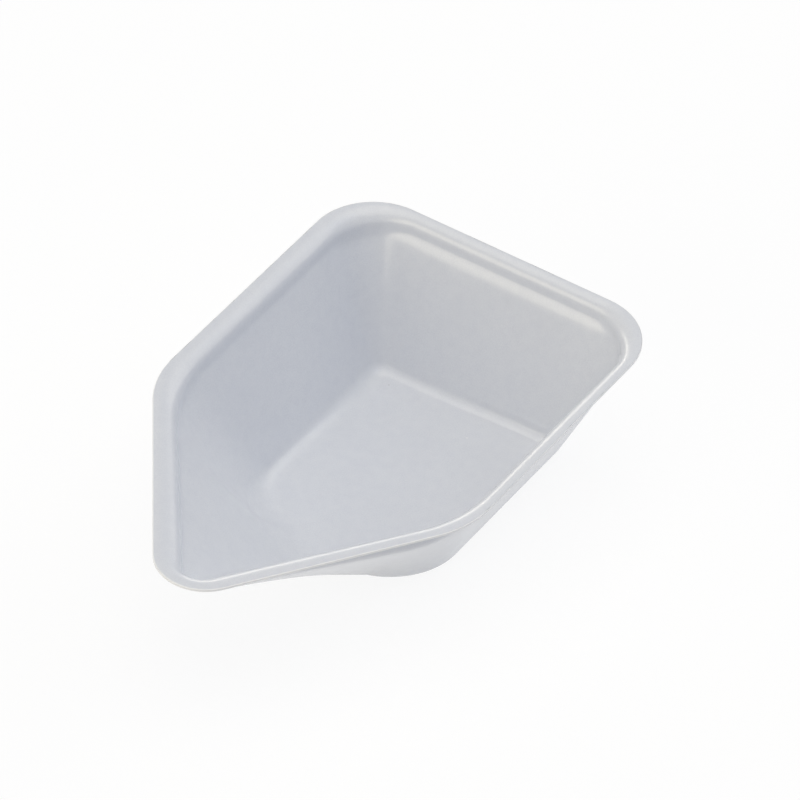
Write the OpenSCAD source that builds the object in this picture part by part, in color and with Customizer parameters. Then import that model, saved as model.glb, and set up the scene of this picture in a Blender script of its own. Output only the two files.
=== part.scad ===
// Weighing boat with a pouring tip, formed from one thin plastic sheet.
// A narrow level flange rolls over in a rounded fold into the mouth. Below the fold the
// walls slope to a flat floor, and a ramp rises from the floor to the pouring tip.
// A slight step crosses the top of the back wall.
// The origin is the middle of the overall box, on the standing plane.
// +X points to the pouring tip and +Z points up.

/* [Rim] */
// Overall length, from the back edge to the rounded tip
rim_l = 85; // [78:0.5:100]
// Overall width across the parallel sides
rim_w = 54; // [48:0.5:64]
// Full angle between the two edges that meet at the tip
rim_tip_angle = 70; // [66:0.5:76]
// Corner radius at the back
rim_back_r = 10; // [8:0.5:14]
// Corner radius at the two shoulders
rim_shoulder_r = 15.5; // [10:0.5:22]
// Corner radius at the tip
rim_tip_r = 7.3; // [5:0.1:10]

/* [Flange and fold] */
// Level part of the flange at the back and along the sides
flange_w = 0.2; // [0.1:0.05:1]
// Level part of the flange at the tip
flange_tip_w = 1; // [0.5:0.1:2]
// Radius of the fold along the back
fold_back_r = 1.9; // [1.2:0.1:2.5]
// Radius of the fold along the sides and the tip
fold_side_r = 2.7; // [1.5:0.1:3.5]
// Full angle between the mouth's edges at the tip
mouth_tip_angle = 72.5; // [66:0.5:76]
// Mouth's corner radius at the back
mouth_back_r = 8.6; // [6:0.2:12]
// Mouth's corner radius at the shoulders
mouth_shoulder_r = 22; // [14:0.5:26]
// Mouth's corner radius at the tip
mouth_tip_r = 2.6; // [2:0.1:6]

/* [Riser and step] */
// Height of the steep riser between the fold and the wall, along the back
riser_back_h = 0.8; // [0.4:0.1:2]
// Height of the steep riser along the sides and the tip
riser_side_h = 0.9; // [0.4:0.1:2]
// Draft of the riser from upright
riser_draft = 6; // [2:0.5:12]
// How far the step across the back wall stands in
step_w = 0.8; // [0.5:0.05:1.2]
// Drop across the step
step_h = 1; // [0.8:0.05:1.6]

/* [Walls and floor] */
// Overall height
height = 23; // [18:0.5:26]
// Draft of the back wall from upright
back_draft = 18.5; // [12:0.5:24]
// Draft of the side walls from upright
side_draft = 24.5; // [14:0.5:27]
// Slope of the ramp from the floor up to the tip, from level
ramp_angle = 32; // [30:0.5:40]
// Corner radius at the back, at the top of the walls
wall_back_r = 6.8; // [4:0.2:8.4]
// Floor's corner radius at the back
floor_back_r = 2.2; // [2:0.1:6]
// Floor's corner radius at the shoulders
floor_shoulder_r = 11.5; // [8:0.5:13]
// Full angle between the floor's edges at the foot of the ramp
floor_tip_angle = 144; // [120:1:150]
// Floor's corner radius at the foot of the ramp
floor_tip_r = 6; // [5.5:0.5:12]
// Reach of the soft fillet at the foot of the back wall
foot_back = 1.2; // [0.8:0.1:1.9]
// Reach of the soft fillet at the foot of the side walls
foot_side = 1.8; // [0.8:0.1:1.9]
// Reach of the soft fillet at the foot of the ramp
foot_tip = 5; // [2:0.5:5]

/* [Sheet] */
// Thickness of the formed sheet
sheet_t = 0.4; // [0.25:0.05:0.6]

/* [Hidden] */
sheet_colour = [0.88, 0.9, 0.93];

// Steps round each kind of corner, and steps along the bends of the section
back_steps = 12;
shoulder_steps = 8;
tip_steps = 14;
fold_steps = 8;
blend_steps = 5;
foot_steps = 8;

// A level is one closed outline on the sheet's upper face, at a depth below the rim:
// [inset at back, at sides, at tip, half tip angle, back r, shoulder r, tip r,
//  depth at back, at sides, at tip]
rim = [0, 0, 0, rim_tip_angle / 2, rim_back_r, rim_shoulder_r, rim_tip_r, 0, 0, 0];
function inward(level, back, side, tip) = level
    + [back, side, tip, 0, -back, -side, -side, 0, 0, 0];
function deeper(level, back, side, tip) = level + [0, 0, 0, 0, 0, 0, 0, back, side, tip];

riser_run = tan(riser_draft);
flange = inward(rim, flange_w, flange_w, flange_tip_w);
mouth = [
    flange_w + fold_back_r,
    flange_w + fold_side_r,
    flange_tip_w + fold_side_r,
    mouth_tip_angle / 2,
    mouth_back_r,
    mouth_shoulder_r,
    mouth_tip_r,
    0, 0, 0
];
fold_end = deeper(mouth, fold_back_r, fold_side_r, fold_side_r);
riser_end = deeper(
    inward(fold_end, riser_back_h * riser_run, riser_side_h * riser_run, riser_side_h * riser_run),
    riser_back_h, riser_side_h, riser_side_h
);

// Floor outline. Each wall runs down to it at its own slope.
floor_depth = height - sheet_t;
step_end_back = [riser_end[0] + step_w, riser_end[7] + step_h];
floor_edge = [
    step_end_back[0] + (floor_depth - step_end_back[1]) * tan(back_draft),
    riser_end[1] + (floor_depth - riser_end[8]) * tan(side_draft),
    riser_end[2] + (floor_depth - riser_end[9]) / tan(ramp_angle),
    floor_tip_angle / 2,
    floor_back_r,
    floor_shoulder_r,
    floor_tip_r,
    floor_depth, floor_depth, floor_depth
];
floor_middle_x = (floor_edge[0] + rim_l - floor_edge[2]) / 2;
// The step crosses the back wall only, so at the sides its level lies on the wall's slope.
// Below it the back corners tighten evenly towards the floor.
step_share = step_h / (floor_depth - riser_end[8]);
step_on_walls = riser_end * (1 - step_share) + floor_edge * step_share;
step_end = [
    step_end_back[0], step_on_walls[1], step_on_walls[2], step_on_walls[3],
    wall_back_r, step_on_walls[5], step_on_walls[6],
    step_end_back[1], step_on_walls[8], step_on_walls[9]
];

// Points of the arc that rounds a corner, between the outward normals a0 and a1
function corner(vertex, r, a0, a1, steps) = let(
    n0 = [cos(a0), sin(a0)],
    n1 = [cos(a1), sin(a1)],
    centre = vertex - r * (n0 + n1) / (1 + n0 * n1)
) [for (i = [0:steps]) let(a = a0 + (a1 - a0) * i / steps) centre + r * [cos(a), sin(a)]];

// Value at an outward normal's angle, from the values at the back, the sides and the tip
function round_level(a, half_angle, back, side, tip) = lookup(a > 180 ? 360 - a : abs(a), [
    [90 - half_angle, tip],
    [90, side],
    [180, back]
]);

// Outward normal angle at each point of a ring, anticlockwise from the back
function ring_normals(half_angle) = let(tip_a = 90 - half_angle) concat(
    [for (i = [0:back_steps]) 180 + 90 * i / back_steps],
    [for (i = [0:shoulder_steps]) 270 + (90 - tip_a) * i / shoulder_steps],
    [for (i = [0:tip_steps]) -tip_a + 2 * tip_a * i / tip_steps],
    [for (i = [0:shoulder_steps]) tip_a + (90 - tip_a) * i / shoulder_steps],
    [for (i = [0:back_steps]) 90 + 90 * i / back_steps]
);

// A level as a closed ring of points in space, in the same order
function ring(level) = let(
    half_angle = level[3],
    tip_a = 90 - half_angle,
    back = level[0],
    half = rim_w / 2 - level[1],
    vertex_x = rim_l - level[2] + level[6] * (1 / sin(half_angle) - 1),
    shoulder_x = vertex_x - half / tan(half_angle),
    outline = concat(
        corner([back, -half], level[4], 180, 270, back_steps),
        corner([shoulder_x, -half], level[5], 270, 360 - tip_a, shoulder_steps),
        corner([vertex_x, 0], level[6], -tip_a, tip_a, tip_steps),
        corner([shoulder_x, half], level[5], tip_a, 90, shoulder_steps),
        corner([back, half], level[4], 90, 180, back_steps)
    ),
    normals = ring_normals(half_angle)
) [for (j = [0:len(outline) - 1])
    let(depth = round_level(normals[j], half_angle, level[7], level[8], level[9]))
    [outline[j].x, outline[j].y, height - depth]];

// Rings that turn smoothly from ring a to ring c, as if round a corner at ring b
function bend(a, b, c, turn, steps) = let(w = cos(turn / 2)) [for (i = [0:steps]) let(
    t = i / steps,
    ka = (1 - t) * (1 - t),
    kb = 2 * w * t * (1 - t),
    kc = t * t
) (ka * a + kb * b + kc * c) / (ka + kb + kc)];

// Fillet rings from the wall above the floor's edge to the level floor inside it
function foot(wall, edge, half_angle) = let(
    normals = ring_normals(half_angle),
    reach = [for (a = normals) round_level(a, half_angle, foot_back, foot_side, foot_tip)],
    up = [for (j = [0:len(edge) - 1])
        let(d = wall[j] - edge[j]) edge[j] + d / norm(d) * reach[j]],
    in = [for (j = [0:len(edge) - 1])
        edge[j] - [cos(normals[j]), sin(normals[j]), 0] * reach[j]]
) bend(up, edge, in, 90 - side_draft, foot_steps);

// The sheet's upper face as rings, from the rim to the floor
function upper_face() = let(
    fold_ring = ring(fold_end),
    riser_ring = ring(riser_end),
    step_ring = ring(step_end),
    floor_ring = ring(floor_edge),
    mid_step = (riser_ring + step_ring) / 2,
    wall_top = step_ring * 0.93 + floor_ring * 0.07,
    foot_rings = foot(step_ring, floor_ring, floor_tip_angle / 2),
    land = foot_rings[foot_steps],
    middle = [for (p = land) [p.x * 0.9 + floor_middle_x * 0.1, p.y * 0.9, p.z]]
) concat(
    [ring(rim)],
    bend(ring(flange), ring(mouth), fold_ring, 90, fold_steps),
    bend(fold_ring * 0.4 + riser_ring * 0.6, riser_ring, mid_step, 20, blend_steps),
    bend(mid_step * 0.9 + step_ring * 0.1, step_ring, wall_top, 20, blend_steps),
    foot_rings,
    [middle]
);

// The sheet's lower face lies one thickness below the upper one, square to it
function lower_face(upper) = let(n = len(upper[0]), last = len(upper) - 1) [
    for (i = [0:last]) [for (j = [0:n - 1]) let(
        along = upper[i][(j + 1) % n] - upper[i][(j + n - 1) % n],
        down = upper[min(i + 1, last)][j] - upper[max(i - 1, 0)][j],
        square = cross(along, down)
    ) upper[i][j] - square / norm(square) * sheet_t]
];

// Both faces, joined at the rim's cut edge and closed across the floor
module formed_sheet() {
    upper = upper_face();
    lower = lower_face(upper);
    rows = concat([for (i = [len(upper) - 1:-1:0]) upper[i]], lower);
    n = len(rows[0]);
    last = len(rows) - 1;
    polyhedron(
        points = [for (row = rows, p = row) p],
        faces = concat(
            [[for (j = [n - 1:-1:0]) j]],
            [for (i = [0:last - 1], j = [0:n - 1]) let(k = (j + 1) % n)
                [i * n + j, i * n + k, (i + 1) * n + k, (i + 1) * n + j]],
            [[for (j = [0:n - 1]) last * n + j]]
        )
    );
}

module boat() {
    color(sheet_colour) translate([-rim_l / 2, 0, 0]) formed_sheet();
}

boat();
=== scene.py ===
# %% [markdown]
# # A weighing boat with a pouring tip
#
# The object is one thin sheet of white polystyrene. It was heated and drawn over a mould, so
# every form in it is a bend of the same sheet: a narrow level flange, a rounded fold into the
# mouth, sloping walls, a flat floor, and a ramp up to the tip. A dish like this could be
# modelled by pulling faces about by hand. Here the sheet is worked out as a surface instead,
# because its sections are few and simple and every bend then keeps its true radius.
#
# The first cell loads the measured solid that the looks are built on, and keeps its box.

# %% Load the frame
import bpy
import numpy as np
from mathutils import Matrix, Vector


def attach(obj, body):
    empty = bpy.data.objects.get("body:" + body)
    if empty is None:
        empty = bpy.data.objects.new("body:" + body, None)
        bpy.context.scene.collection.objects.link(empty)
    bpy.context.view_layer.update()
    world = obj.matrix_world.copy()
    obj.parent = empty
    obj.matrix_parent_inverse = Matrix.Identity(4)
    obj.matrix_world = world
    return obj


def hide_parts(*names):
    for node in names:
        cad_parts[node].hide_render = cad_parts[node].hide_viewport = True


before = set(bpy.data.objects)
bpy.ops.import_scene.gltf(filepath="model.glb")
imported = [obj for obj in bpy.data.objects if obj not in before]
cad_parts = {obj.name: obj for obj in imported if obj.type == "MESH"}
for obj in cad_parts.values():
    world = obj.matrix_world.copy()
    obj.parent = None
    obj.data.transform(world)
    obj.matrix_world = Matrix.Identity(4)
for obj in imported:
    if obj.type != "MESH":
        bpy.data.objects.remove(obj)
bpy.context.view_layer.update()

# %% [markdown]
# ## The camera
#
# Small lab ware is often shown through a long lens from well back, which keeps its edges
# nearly parallel. The camera stands 1.16 m away, a little above forty degrees, and looks at
# the middle of the dish. It is leaned by a small roll about its own axis. Places are in
# metres, the roll is in degrees, and the lens and its sensor are in millimetres.

# %% Camera
CAMERA_PLACE, AIM = (0.713146, 0.457135, 0.789479), Vector((-0.017841, -0.002494, 0.0115))
ROLL, LENS, SENSOR = 2.3084, 363.85, 36
NEAREST, FARTHEST = 0.1, 20
camera = bpy.data.objects.new("camera", bpy.data.cameras.new("camera"))
bpy.context.scene.collection.objects.link(camera)
camera.location = CAMERA_PLACE
facing = (AIM - camera.location).to_track_quat("-Z", "Y").to_matrix().to_4x4()
camera.rotation_euler = (facing @ facing.Rotation(np.radians(ROLL), 4, "Z")).to_euler()
camera.data.lens = LENS
camera.data.sensor_width = SENSOR
camera.data.clip_start, camera.data.clip_end = NEAREST, FARTHEST
bpy.context.scene.camera = camera
bpy.context.scene.view_settings.view_transform = "Standard"
print("distance, m:", round((AIM - camera.location).length, 4))

# %% [markdown]
# ## The sheet's sizes
#
# All sizes are in millimetres, and become metres only when a mesh is made. A *level* is one
# closed outline on the sheet's upper face. It is held by its insets from the rim, its corner
# radii and its depth below the rim, each given at the back, at the sides and at the tip. A
# drawing with a section at each place would say the same. Levels say it in one table, and
# the section between them can then change smoothly all the way round.

# %% Sizes and levels
LENGTH, WIDTH, HEIGHT, SHEET = 85, 54, 23, 0.4
FLOOR = HEIGHT - SHEET
RISER_DRAFT, BACK_DRAFT, SIDE_DRAFT, RAMP_ANGLE = 6, 18.5, 24.5, 32
RIM_HALF, MOUTH_HALF, FLOOR_HALF = 35, 36.25, 72
FOLD_DROP, RISER_DROP = (1.9, 2.7, 2.7), (0.8, 0.9, 0.9)
STEP_IN, STEP_DROP, STEP_RADIUS = 0.8, 1, 6.8


def tan(degrees):
    """Tangent of an angle in degrees."""
    return np.tan(np.radians(degrees))


def level(inset, half_tip_angle, radius, depth):
    """Keeps an outline's sizes: inset, corner radius and depth, each at (back, sides, tip)."""
    return {"inset": np.array(inset, float), "half": half_tip_angle,
            "radius": np.array(radius, float), "depth": np.array(depth, float)}


def shifted(base, inset=(0, 0, 0), depth=(0, 0, 0)):
    """The same outline moved inwards and down. A corner's radius shrinks by what moves in."""
    radius = base["radius"] - np.array([inset[0], inset[1], inset[1]])
    return level(base["inset"] + inset, base["half"], radius, base["depth"] + depth)


def mixed(a, b, share):
    """a (1 - share) + b share."""
    return a * (1 - share) + b * share


rim = level((0, 0, 0), RIM_HALF, (10, 15.5, 7.3), (0, 0, 0))
flange = shifted(rim, inset=(0.2, 0.2, 1))
mouth = level((2.1, 2.9, 3.7), MOUTH_HALF, (8.6, 22, 2.6), (0, 0, 0))
fold_end = shifted(mouth, depth=FOLD_DROP)
riser_end = shifted(fold_end, np.array(RISER_DROP) * tan(RISER_DRAFT), RISER_DROP)
step_inset, step_depth = riser_end["inset"][0] + STEP_IN, riser_end["depth"][0] + STEP_DROP
drop = FLOOR - np.array([step_depth, riser_end["depth"][1], riser_end["depth"][2]])
run = drop * np.array([tan(BACK_DRAFT), tan(SIDE_DRAFT), 1 / tan(RAMP_ANGLE)])
floor_edge = level(
    (step_inset + run[0], riser_end["inset"][1] + run[1], riser_end["inset"][2] + run[2]),
    FLOOR_HALF, (2.2, 11.5, 6), (FLOOR, FLOOR, FLOOR))
step_end = {key: mixed(riser_end[key], floor_edge[key], STEP_DROP / drop[1]) for key in rim}
step_end["inset"][0], step_end["depth"][0] = step_inset, step_depth
step_end["radius"][0] = STEP_RADIUS
print("floor's insets at back, sides and tip, mm:", floor_edge["inset"].round(2))

# %% [markdown]
# ## Outlines
#
# Each outline has five corners joined by straight runs. A corner could be rounded by a bevel
# afterwards, but then its points wouldn't match from one outline to the next. Here a corner is
# an arc that starts and ends square to its two sides, so the runs meet it smoothly. Every
# outline is cut into the same columns, and a column's outward normal angle says how far it is
# from the back (180 degrees) or the sides (90 degrees) to the tip.

# %% Arcs and normal angles
ARC_STEPS = (18, 20, 24, 20, 18)
RUN_STEPS = (30, 16, 16, 30, 58)


def corner_arc(vertex, radius, start, end, steps):
    """Points centre + r (cos a, sin a), with centre = vertex - r (n0 + n1) / (1 + n0 . n1)."""
    turn_angles = np.radians(np.linspace(start, end, steps + 1))
    normals = np.stack([np.cos(turn_angles), np.sin(turn_angles)], axis=1)
    centre = vertex - radius * (normals[0] + normals[-1]) / (1 + normals[0] @ normals[-1])
    return centre + radius * normals


def normal_angles(half):
    """Outward normal angle of every column, in degrees: turning in arcs, level along runs."""
    tip_angle = 90 - half
    ends = [180, 270, 360 - tip_angle, 360 + tip_angle, 450, 540]
    parts = [np.r_[np.linspace(a, b, arc + 1), np.full(along - 1, b)]
             for a, b, arc, along in zip(ends, ends[1:], ARC_STEPS, RUN_STEPS)]
    return np.concatenate(parts)


def spread(angles, half, values):
    """Value at each angle, from the values at (back, sides, tip), straight between them."""
    from_tip = np.abs((angles + 180) % 360 - 180)
    return np.interp(from_tip, [90 - half, 90, 180], [values[2], values[1], values[0]])


print("columns round the sheet:", len(normal_angles(RIM_HALF)))

# %% Outlines in space


def outline(at):
    """The level's closed outline: arcs, with (1 - t) end + t start along each straight run."""
    back, side, tip = at["inset"]
    radius, half = at["radius"], at["half"]
    half_width, tip_angle = WIDTH / 2 - side, 90 - half
    tip_x = LENGTH / 2 - tip + radius[2] * (1 / np.sin(np.radians(half)) - 1)
    shoulder_x = tip_x - half_width / tan(half)
    back_x = back - LENGTH / 2
    corners = [((back_x, -half_width), radius[0], 180, 270),
               ((shoulder_x, -half_width), radius[1], 270, 360 - tip_angle),
               ((tip_x, 0), radius[2], 360 - tip_angle, 360 + tip_angle),
               ((shoulder_x, half_width), radius[1], 360 + tip_angle, 450),
               ((back_x, half_width), radius[0], 450, 540)]
    arcs = [corner_arc(np.array(c[0]), *c[1:], steps) for c, steps in zip(corners, ARC_STEPS)]
    parts = []
    for arc, following, along in zip(arcs, arcs[1:] + arcs[:1], RUN_STEPS):
        t = np.linspace(0, 1, along + 1)[1:-1, None]
        parts += [arc, (1 - t) * arc[-1] + t * following[0]]
    flat = np.concatenate(parts)
    z = HEIGHT - spread(normal_angles(half), half, at["depth"])
    return np.column_stack([flat, z])


rim_line = outline(rim)
print("rim's length and width, mm:", np.ptp(rim_line[:, :2], axis=0).round(3))

# %% [markdown]
# ## The section
#
# From the rim inwards the sheet lies level, rolls down through the fold, drops in a short
# steep riser, steps in across the back wall, and runs straight to the floor, where a soft
# fillet turns it level. Bevels could round these bends too, but each bend's radius changes
# from the back to the tip. So each turn is a rational curve between three outlines, which is
# a true circular arc where the middle one is equally far from the other two. Rows are stacked
# into one grid of points.
#
# The back wall's foot isn't quite square to the dish. The mould's edge leans forward by about
# a millimetre toward one side, and the floor's edge is moved by that much.

# %% Turns and the floor's edge
FOOT_SKEW, SKEW_Y, SKEW_X = 1.1, (-15, 9), (-32, -24)


def turn_between(a, b, c, degrees, steps):
    """((1-t)^2 a + 2 w t (1-t) b + t^2 c) / sum of weights, with w = cos(degrees / 2)."""
    t = np.linspace(0, 1, steps + 1)[:, None, None]
    ka, kb, kc = (1 - t) ** 2, 2 * np.cos(np.radians(degrees / 2)) * t * (1 - t), t ** 2
    return (ka * a + kb * b + kc * c) / (ka + kb + kc)


def between(a, b, steps, crowd=1):
    """Rows a + t (b - a) without the two ends, with t = 1 - (1 - s)^crowd to crowd them at b."""
    t = 1 - (1 - np.linspace(0, 1, steps + 1)[1:-1, None, None]) ** crowd
    return a + t * (b - a)


def skew(line):
    """The skew at one end of the back wall's foot, going straight to 0 at the other end."""
    along_foot = np.interp(line[:, 1], SKEW_Y, (1, 0))
    return FOOT_SKEW * along_foot * np.interp(line[:, 0], SKEW_X, (1, 0))


floor_line = outline(floor_edge)
floor_line[:, 0] += skew(floor_line)
print("most skew, mm:", skew(floor_line).max().round(3))

# %% The upper face as a grid
FOOT_TURN, FOOT_REACH = 65.5, (1.2, 1.8, 5)
BEND = 20
FLANGE_ROWS, FOLD_ROWS, BEND_ROWS, WALL_ROWS, FOOT_ROWS = 3, 14, 8, 40, 14


def foot_fillet(wall, edge, half, reach, steps):
    """Turns from a point reach up the wall, round the floor's edge, to reach inside it."""
    angles = normal_angles(half)
    far = spread(angles, half, reach)[:, None]
    up = wall - edge
    up = edge + up / np.linalg.norm(up, axis=1, keepdims=True) * far
    a = np.radians(angles)
    inside = edge - np.stack([np.cos(a), np.sin(a), 0 * a], axis=1) * far
    return turn_between(up, edge, inside, FOOT_TURN, steps)


fold_line, riser_line, step_line = outline(fold_end), outline(riser_end), outline(step_end)
middle = (riser_line + step_line) / 2
fold = turn_between(outline(flange), outline(mouth), fold_line, 90, FOLD_ROWS)
riser = turn_between(mixed(fold_line, riser_line, 0.6), riser_line, middle, BEND, BEND_ROWS)
wall_top = mixed(step_line, floor_line, 0.07)
step = turn_between(mixed(middle, step_line, 0.1), step_line, wall_top, BEND, BEND_ROWS)
foot = foot_fillet(step_line, floor_line, floor_edge["half"], FOOT_REACH, FOOT_ROWS)
upper = np.concatenate([
    rim_line[None], between(rim_line, fold[0], FLANGE_ROWS), fold, riser, step,
    between(step[-1], foot[0], WALL_ROWS, crowd=2), foot])
print("rows from rim to floor:", len(upper))

# %% [markdown]
# ## Faults of a real dish
#
# Real dishes aren't perfect, and a small fault tells the eye how big the thing is. At one end
# of the back wall's foot the sheet didn't quite follow the mould, which left a low ridge with
# a dip under it. At the other end the floor's corner was lifted a little as the dish came off
# the mould. They could be dents painted in the material, but a shape that shows has to be a
# real one, so both are moves of the mesh's points, a fraction of a millimetre high.

# %% Ripple and risen corner
RIDGE, RIDGE_UP, RIDGE_WIDTH = 0.05, 2.2, 0.35
DIP, DIP_UP, DIP_WIDTH = 0.06, 1, 0.5
RIPPLE_X, RIPPLE_START, RIPPLE_END = (-31.5, -32.5), (-6, 1), (17.5, 15)
RISE, RISE_CENTRE, RISE_WIDTH, RISE_FADE = 0.3, (-32, -15), 3.2, (8, 2)


def smooth(low, high, x):
    """3 s^2 - 2 s^3, with s going from 0 at low to 1 at high."""
    s = np.clip((x - low) / (high - low), 0, 1)
    return s * s * (3 - 2 * s)


def back_ripple(points):
    """Ridge exp(-d^2) less dip exp(-b^2), d and b being heights above each in its widths."""
    x, y, z = np.moveaxis(points, -1, 0)
    d, b = (z - RIDGE_UP) / RIDGE_WIDTH, (z - DIP_UP) / DIP_WIDTH
    here = smooth(*RIPPLE_X, x) * smooth(*RIPPLE_START, y) * smooth(*RIPPLE_END, y)
    return here * (RIDGE * np.exp(-d ** 2) - DIP * np.exp(-b ** 2))


def corner_rise(points):
    """Height of the floor's soft rise into one back corner: h exp(-distance^2 / 2 width^2)."""
    away = (points[:, :2] - RISE_CENTRE) / RISE_WIDTH
    return RISE * np.exp(-(away ** 2).sum(1) / 2) * smooth(*RISE_FADE, points[:, 2])


print("ridge and dip, mm:", back_ripple(np.array([[-35, 8, 2.2], [-35, 8, 1.0]])).round(3))

# %% [markdown]
# ## Both faces and the cut edge
#
# The lower face lies one sheet thickness behind the upper one, measured square to it. A
# Solidify modifier could add it, but here the same rows also have to pass round the cut edge.
# The sheet was cut at the rim, and the cut's two arrises are slightly eased, so a few rows
# carry the surface round them.

# %% Lower face


def grid_normals(grid):
    """Unit cross product of the step round the sheet and the step down it."""
    along = np.roll(grid, -1, 1) - np.roll(grid, 1, 1)
    down = np.gradient(grid, axis=0)
    square = np.cross(along, down)
    return square / np.linalg.norm(square, axis=2, keepdims=True)


skin = grid_normals(upper)
skin[0] = skin[-1] = 0, 0, 1
upper += skin * back_ripple(upper)[..., None]
lower = upper - skin * SHEET
print("sheet's lowest point, mm:", lower[..., 2].min().round(4))

# %% Cut edge
EASE, EASE_ROWS = 0.08, 4


def edge_rows(top, bottom, ease, steps):
    """Quarter turns of radius ease from the top face out to the cut and back under it."""
    square = (top - bottom) / SHEET
    along = np.roll(top, -1, 0) - np.roll(top, 1, 0)
    out = np.cross(along, square)
    out /= np.linalg.norm(out, axis=1, keepdims=True)
    a = np.radians(np.linspace(0, 90, steps + 1))[:, None, None]
    upper_turn = top + ease * ((np.sin(a) - 1) * out + (np.cos(a) - 1) * square)
    lower_turn = bottom + ease * ((np.cos(a) - 1) * out + (1 - np.sin(a)) * square)
    return np.concatenate([upper_turn, lower_turn])


edge = edge_rows(rim_line, lower[0], EASE, EASE_ROWS)
rows = np.concatenate([upper[:0:-1], edge, lower[1:]])
print("rows over both faces:", len(rows))

# %% [markdown]
# ## Closing the floor
#
# Real dishes have a plain flat floor. The space inside the last row could be closed by a fan of
# triangles, but a fan's thin slivers shade badly. A four-sided patch fills it with even cells
# instead: its corners are the middles of the back and shoulder arcs.

# %% Floor patch


def floor_patch(line):
    """Points blended from the four sides: (1-v) near + v far + (1-u) back + u front - corners."""
    half_arc = ARC_STEPS[0] // 2
    side = half_arc + RUN_STEPS[0] + ARC_STEPS[1] // 2
    across = (len(line) - 2 * side) // 2
    order = np.roll(np.arange(len(line)), -half_arc)
    near, front = order[:side + 1], order[side:side + across + 1]
    far = order[side + across:2 * side + across + 1][::-1]
    back = np.append(order[2 * side + across:], order[0])[::-1]
    u = np.linspace(0, 1, side + 1)[:, None, None]
    v = np.linspace(0, 1, across + 1)[None, :, None]
    corners = ((1 - u) * (1 - v) * line[near[0]] + u * (1 - v) * line[near[-1]]
               + (1 - u) * v * line[far[0]] + u * v * line[far[-1]])
    points = ((1 - v) * line[near][:, None] + v * line[far][:, None]
              + (1 - u) * line[back][None] + u * line[front][None] - corners)
    index = np.zeros((side + 1, across + 1), int)
    index[:, 0], index[:, -1], index[0], index[-1] = near, far, back, front
    return points[1:-1, 1:-1].reshape(-1, 3), index


def cells(index):
    """Quads between neighbouring rows and columns of a grid of point numbers."""
    corners = [index[:-1, :-1], index[1:, :-1], index[1:, 1:], index[:-1, 1:]]
    return np.stack(corners, -1).reshape(-1, 4)


print("cells in each floor patch:", len(cells(floor_patch(rows[0])[1])))

# %% [markdown]
# ## Building the dish
#
# The upper face, the cut edge and the lower face are stacked into one tube of rows, which runs
# from the middle of the floor out to the rim and back under it. Two open sheets could be made
# and stitched, but one tube has no seam to go wrong. The rows of the cut edge are marked in
# the mesh, for the material to find. The dish rides on the measured solid's only part and
# takes its place in the picture.

# %% Build the dish
METRES = 0.001


def closed_mesh(name, rows):
    """A tube of quads between the rows, closed at each end by a floor patch."""
    count, around = rows.shape[:2]
    tube = np.arange(count * around).reshape(count, around)
    quads, points = [cells(np.column_stack([tube, tube[:, 0]]))], [rows.reshape(-1, 3)]
    for row, turned in ((0, False), (count - 1, True)):
        inside, index = floor_patch(rows[row])
        index += row * around
        start = sum(len(p) for p in points)
        index[1:-1, 1:-1] = start + np.arange(len(inside)).reshape(index[1:-1, 1:-1].shape)
        patch = cells(index)
        quads.append(patch[:, ::-1] if turned else patch)
        points.append(inside)
    points, quads = np.concatenate(points), np.concatenate(quads)
    points[:, 2] += corner_rise(points)
    points *= METRES
    mesh = bpy.data.meshes.new(name)
    mesh.from_pydata(points, [], quads.tolist())
    mesh.shade_smooth()
    piece = bpy.data.objects.new(name, mesh)
    bpy.context.scene.collection.objects.link(piece)
    print(name, "triangles:", 2 * len(quads))
    return piece


dish = closed_mesh("dish", rows)
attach(dish, "root")
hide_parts("boat")

# %% Mark the cut edge
cut = np.zeros(len(dish.data.vertices), np.float32)
first = (len(upper) - 1) * len(rim_line)
cut[first:first + edge.shape[0] * edge.shape[1]] = 1
dish.data.attributes.new("cut", "FLOAT", "POINT").data.foreach_set("value", cut)
print("points on the cut edge:", int(cut.sum()))

# %% [markdown]
# ## Node helpers
#
# A material is a chain of nodes. It could be drawn by hand in the shader editor, but a chain
# of calls can be read from top to bottom. Each helper takes numbers or other nodes' outputs
# for its inputs, sets or links them, and gives back what it made.

# %% Node helpers


def feed(tree, socket, value):
    """Links the socket where the value is another node's output, and sets it otherwise."""
    if isinstance(value, bpy.types.NodeSocket):
        tree.links.new(value, socket)
    else:
        socket.default_value = value


def material(name):
    """A new node material with nothing in it, and its node tree."""
    made = bpy.data.materials.new(name)
    made.use_nodes = True
    made.node_tree.nodes.clear()
    return made, made.node_tree


def add(tree, kind, **values):
    """Adds a node and feeds its inputs by name, with _ for a space in the name."""
    made = tree.nodes.new(kind)
    for key, value in values.items():
        feed(tree, made.inputs[key.replace("_", " ")], value)
    return made


def arith(tree, operation, *values):
    """The output of a Math node with these inputs."""
    made = tree.nodes.new("ShaderNodeMath")
    made.operation = operation
    for socket, value in zip(made.inputs, values):
        feed(tree, socket, value)
    return made.outputs[0]


def colour_mix(tree, share, low, high):
    """low (1 - share) + high share, each a colour or another node's output."""
    made = tree.nodes.new("ShaderNodeMix")
    made.data_type = "RGBA"
    tree.links.new(share, made.inputs[0])
    for socket, value in ((made.inputs[6], low), (made.inputs[7], high)):
        feed(tree, socket, (*value, 1) if isinstance(value, tuple) else value)
    return made.outputs[2]


plastic, tree = material("satin_polystyrene")
print("material:", plastic.name)

# %% [markdown]
# ## The plastic
#
# Polystyrene sheet for weighing is white with a cool tint and a satin surface. A single flat
# colour would look like paint, so the colour has three layers of noise in it: broad cloudy
# patches, where the hot sheet was drawn thinner, a mottle of a millimetre or two, and a fine
# grain. An image texture could be wrapped on instead, but it blurs from close by and needs the
# sheet laid out flat. Noise needs neither. All three lie in the object's own space, so they
# sit still on it from every side.

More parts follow.
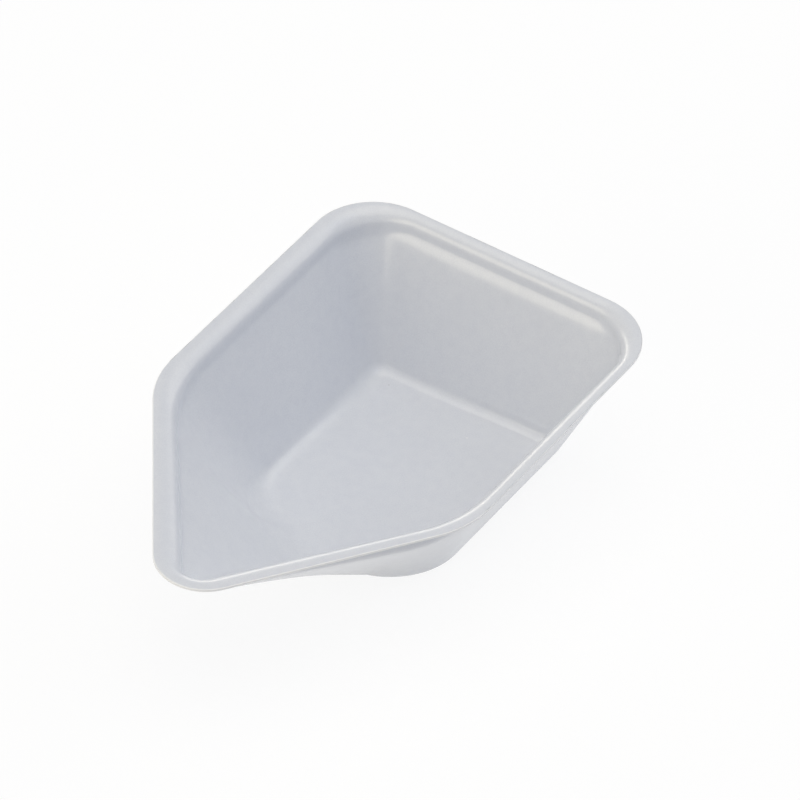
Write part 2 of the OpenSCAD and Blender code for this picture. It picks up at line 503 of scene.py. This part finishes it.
# %% The sheet's colour
CLOUD_WAVES, MOTTLE_WAVES, GRAIN_WAVES = 90, 700, 5200
MOTTLE_SHARE = 0.4
THIN_TINT, THICK_TINT = (0.755, 0.78, 0.835), (0.785, 0.81, 0.855)
GRAIN_TINT, MOTTLE_TINT = (0.725, 0.745, 0.805), (0.815, 0.835, 0.875)


def noise(tree, place, scale, detail, low, high):
    """A cloud pattern of that many waves to the metre, stretched from low-high to 0-1."""
    cloud = add(tree, "ShaderNodeTexNoise", Vector=place, Scale=scale, Detail=detail)
    stretched = add(tree, "ShaderNodeMapRange", Value=cloud.outputs["Fac"], From_Min=low,
                    From_Max=high)
    return stretched.outputs["Result"]


place = add(tree, "ShaderNodeTexCoord").outputs["Object"]
clouds = noise(tree, place, CLOUD_WAVES, detail=3, low=0.3, high=0.7)
mottle = noise(tree, place, MOTTLE_WAVES, detail=2, low=0.25, high=0.75)
grain = noise(tree, place, GRAIN_WAVES, detail=0, low=0.2, high=0.8)
colour = colour_mix(tree, clouds, THIN_TINT, THICK_TINT)
colour = colour_mix(tree, grain, colour, GRAIN_TINT)
colour = colour_mix(tree, arith(tree, "MULTIPLY", mottle, MOTTLE_SHARE), colour, MOTTLE_TINT)
print("grain's size, mm:", round(1000 / GRAIN_WAVES, 2))

# %% [markdown]
# ## Cut edge and specks
#
# The cut edge is painted whiter than the faces, a painted highlight for the bright line of
# light that the thin edge catches. It is found by the mesh's own cut value. Three specks of
# dust and one tiny bubble are caught in the sheet. They could be small balls, but nothing
# stands out of the sheet there, so each is a spot of colour round a point in the object's
# space. Places and widths are in metres.

# %% Cut edge and specks
PAINTED_EDGE_LIGHT = (0.95, 0.955, 0.965)
DUST, BUBBLE = (0.3, 0.29, 0.3), (0.97, 0.97, 0.97)
CORE, DENSITY = 0.4, 0.5
specks = [((-0.0271, 0.0034, 0.0004), 0.0002, BUBBLE),
          ((-0.0299, -0.0121, 0.00055), 0.00012, DUST),
          ((-0.0372, -0.0098, 0.0139), 0.00014, DUST),
          ((-0.0378, 0.0063, 0.0157), 0.0002, DUST)]
cut_edge = add(tree, "ShaderNodeAttribute")
cut_edge.attribute_name = "cut"
# Painted highlight: the cut edge's colour is lightened to stand in for the bright line of light
# it catches.
colour = colour_mix(tree, cut_edge.outputs["Fac"], colour, PAINTED_EDGE_LIGHT)
for spot, width, speck_colour in specks:
    away = add(tree, "ShaderNodeVectorMath")
    away.operation = "DISTANCE"
    tree.links.new(place, away.inputs[0])
    away.inputs[1].default_value = spot
    speck = add(tree, "ShaderNodeMapRange", Value=away.outputs["Value"], From_Min=width,
                From_Max=width * CORE, To_Max=DENSITY)
    colour = colour_mix(tree, speck.outputs["Result"], colour, speck_colour)
print("specks:", len(specks))

# %% [markdown]
# ## The satin surface
#
# The mould leaves the sheet neither bright nor quite dull. One roughness would look like a
# coat of varnish, so the broad clouds carry it up and down a little, and the grain dimples
# the surface by half a thousandth of a millimetre. Real dimples would need millions of faces.

# %% The shader
DIMPLE, SMOOTHEST, ROUGHEST = 5e-7, 0.22, 0.24
relief = add(tree, "ShaderNodeBump", Height=grain, Strength=1, Distance=DIMPLE)
rough = add(tree, "ShaderNodeMapRange", Value=clouds, To_Min=SMOOTHEST, To_Max=ROUGHEST)
sheet_shader = add(tree, "ShaderNodeBsdfPrincipled", Base_Color=colour,
                   Roughness=rough.outputs["Result"], Normal=relief.outputs["Normal"], IOR=1.59)
add(tree, "ShaderNodeOutputMaterial", Surface=sheet_shader.outputs["BSDF"])
dish.data.materials.append(plastic)
print("nodes in the plastic:", len(tree.nodes))

# %% [markdown]
# ## Table and background
#
# The dish stands on a white table that runs out to a white background. Seen by the camera, or
# mirrored in the plastic, both are white, by the Light Path node, while the light they throw
# on the dish stays that of plain pale paper. A share of the table's own shading is kept, and
# the dish's shadow shows in it. White could also be had from more light, but that would bleach
# the dish. The table lies a hair below the dish, so that their faces don't fight.

# %% Table
TABLE_REACH, TABLE_TOP = 6, -2e-5
PAPER, TABLE_WHITE, WHITE_SHARE = (0.83, 0.83, 0.83, 1), 1.05, 0.85


def seen_directly(tree):
    """1 where the ray comes from the camera, a mirroring or a clear body, and 0 elsewhere."""
    path = add(tree, "ShaderNodeLightPath").outputs
    seen = arith(tree, "MAXIMUM", path["Is Camera Ray"], path["Is Glossy Ray"])
    return arith(tree, "MAXIMUM", seen, path["Is Transmission Ray"])


def shader_mix(tree, share, low, high):
    """The shader low (1 - share) + high share."""
    made = add(tree, "ShaderNodeMixShader", Fac=share)
    tree.links.new(low.outputs[0], made.inputs[1])
    tree.links.new(high.outputs[0], made.inputs[2])
    return made.outputs["Shader"]


mesh = bpy.data.meshes.new("table")
corners = [(x * TABLE_REACH, y * TABLE_REACH, TABLE_TOP)
           for x, y in ((-1, -1), (1, -1), (1, 1), (-1, 1))]
mesh.from_pydata(corners, [], [(0, 1, 2, 3)])
table = bpy.data.objects.new("table", mesh)
bpy.context.scene.collection.objects.link(table)
paper, tree = material("table_white")
share = arith(tree, "MULTIPLY", seen_directly(tree), WHITE_SHARE)
matt = add(tree, "ShaderNodeBsdfDiffuse", Color=PAPER)
white = add(tree, "ShaderNodeEmission", Color=(1, 1, 1, 1), Strength=TABLE_WHITE)
add(tree, "ShaderNodeOutputMaterial", Surface=shader_mix(tree, share, matt, white))
mesh.materials.append(paper)
print("table, m:", 2 * TABLE_REACH, "across")

# %% World
ROOM_TINT, ROOM_LEVEL = (0.9, 1.0, 1.27, 1), 0.22
world = bpy.data.worlds.new("studio")
bpy.context.scene.world = world
world.use_nodes = True
tree = world.node_tree
tree.nodes.clear()
dim = add(tree, "ShaderNodeBackground", Color=ROOM_TINT, Strength=ROOM_LEVEL)
bright = add(tree, "ShaderNodeBackground", Color=(1, 1, 1, 1), Strength=1.0)
studio_light = shader_mix(tree, seen_directly(tree), dim, bright)
add(tree, "ShaderNodeOutputWorld", Surface=studio_light)
print("room's own light on the dish:", ROOM_LEVEL)

# %% [markdown]
# ## Lamps
#
# A shallow dish has few edges, so light has to draw its form. Large soft lamps are enough: one
# overhead, one low beyond the tip that warms the back wall, one low behind for the fold and
# the ramp, and a faint cool one from the side. A wide low strip gives the near rim's fold its
# fine bright line. One large lamp alone would be simpler, but it leaves the walls alike.

# %% Lamps
AMBER, WARM, COOL = (1.1, 1.0, 0.76), (1.06, 1.0, 0.86), (0.8, 1.0, 1.3)


def softbox(name, colour, turn, height, distance, size, level_seen):
    """An area lamp of size (across, up) at these angles, in degrees. A white surface that faces
    it renders at level_seen, because the power is level pi^2 distance^2."""
    lamp = bpy.data.lights.new(name, "AREA")
    lamp.shape = "RECTANGLE"
    lamp.energy = level_seen * (np.pi * distance) ** 2
    lamp.size, lamp.size_y = size
    lamp.color = colour
    turn, height = np.radians([turn, height])
    toward = Vector((np.cos(turn) * np.cos(height), np.sin(turn) * np.cos(height),
                     np.sin(height)))
    holder = bpy.data.objects.new(name, lamp)
    bpy.context.scene.collection.objects.link(holder)
    holder.location = toward * distance
    holder.rotation_euler = toward.to_track_quat("Z", "Y").to_euler()
    print(name, "lamp, W:", round(lamp.energy, 2))


softbox("overhead", WARM, turn=0, height=90, distance=0.8, size=(0.8, 0.8), level_seen=0.42)
softbox("tip_side", AMBER, turn=-14, height=19, distance=1, size=(1, 0.6), level_seen=0.35)
softbox("behind", WARM, turn=150, height=28, distance=1, size=(0.9, 0.9), level_seen=0.25)
softbox("side", COOL, turn=120, height=48, distance=0.8, size=(0.5, 0.5), level_seen=0.05)
softbox("low_back", WARM, turn=238, height=7, distance=0.8, size=(1.1, 0.16), level_seen=0.26)
